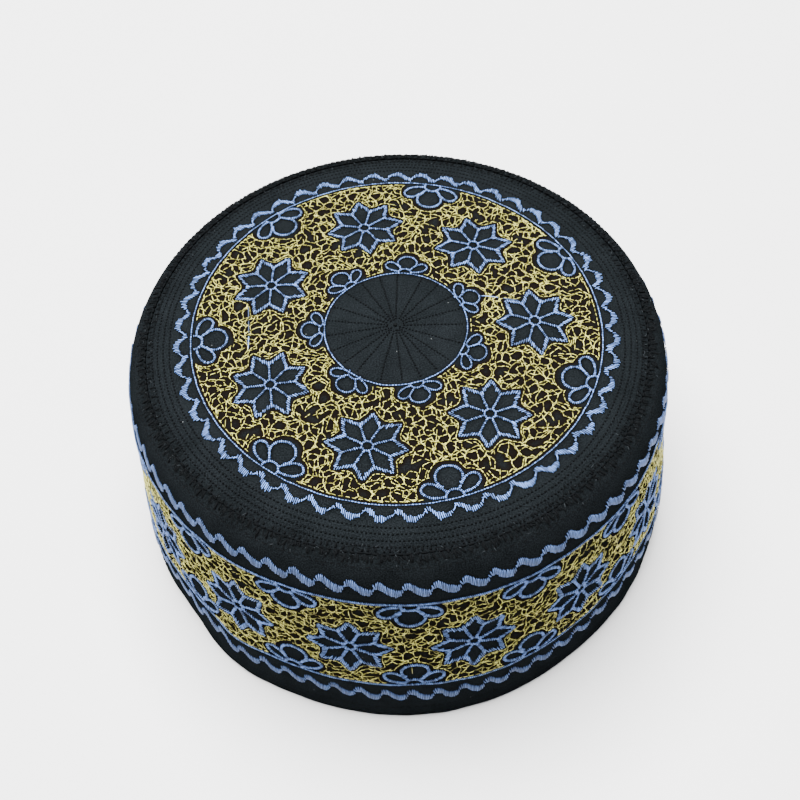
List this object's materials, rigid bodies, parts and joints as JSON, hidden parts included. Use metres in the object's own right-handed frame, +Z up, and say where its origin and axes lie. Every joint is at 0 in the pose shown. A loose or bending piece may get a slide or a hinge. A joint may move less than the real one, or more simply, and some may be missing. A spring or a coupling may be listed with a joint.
{
  "type": "prayer cap",
  "caption": "Round flat-topped cloth prayer cap: a quilted dark crown sewn to an upright embroidered side band, open below for the head.",
  "frame": {"origin": "middle of the rim that the cap stands on, in the plane of the rim", "axes": "+Z up through the middle of the crown; the front of the cap faces -Y"},
  "size_m": [0.189, 0.1894, 0.094],
  "materials": {
    "crown_cloth": "matt slate-black woven cloth, quilted with running stitches",
    "band_cloth": "matt slate-black woven cloth, quilted with running stitches",
    "inner_cloth": "plain matt black woven cloth on the inside",
    "blue_thread": "periwinkle-blue embroidery thread with a soft satin sheen",
    "gold_thread": "old-gold embroidery thread with a soft satin sheen",
    "dark_thread": "black sewing thread"
  },
  "bodies": {
    "root": {"crown": "crown_cloth", "side_band": "band_cloth"}
  },
  "joints": []
}
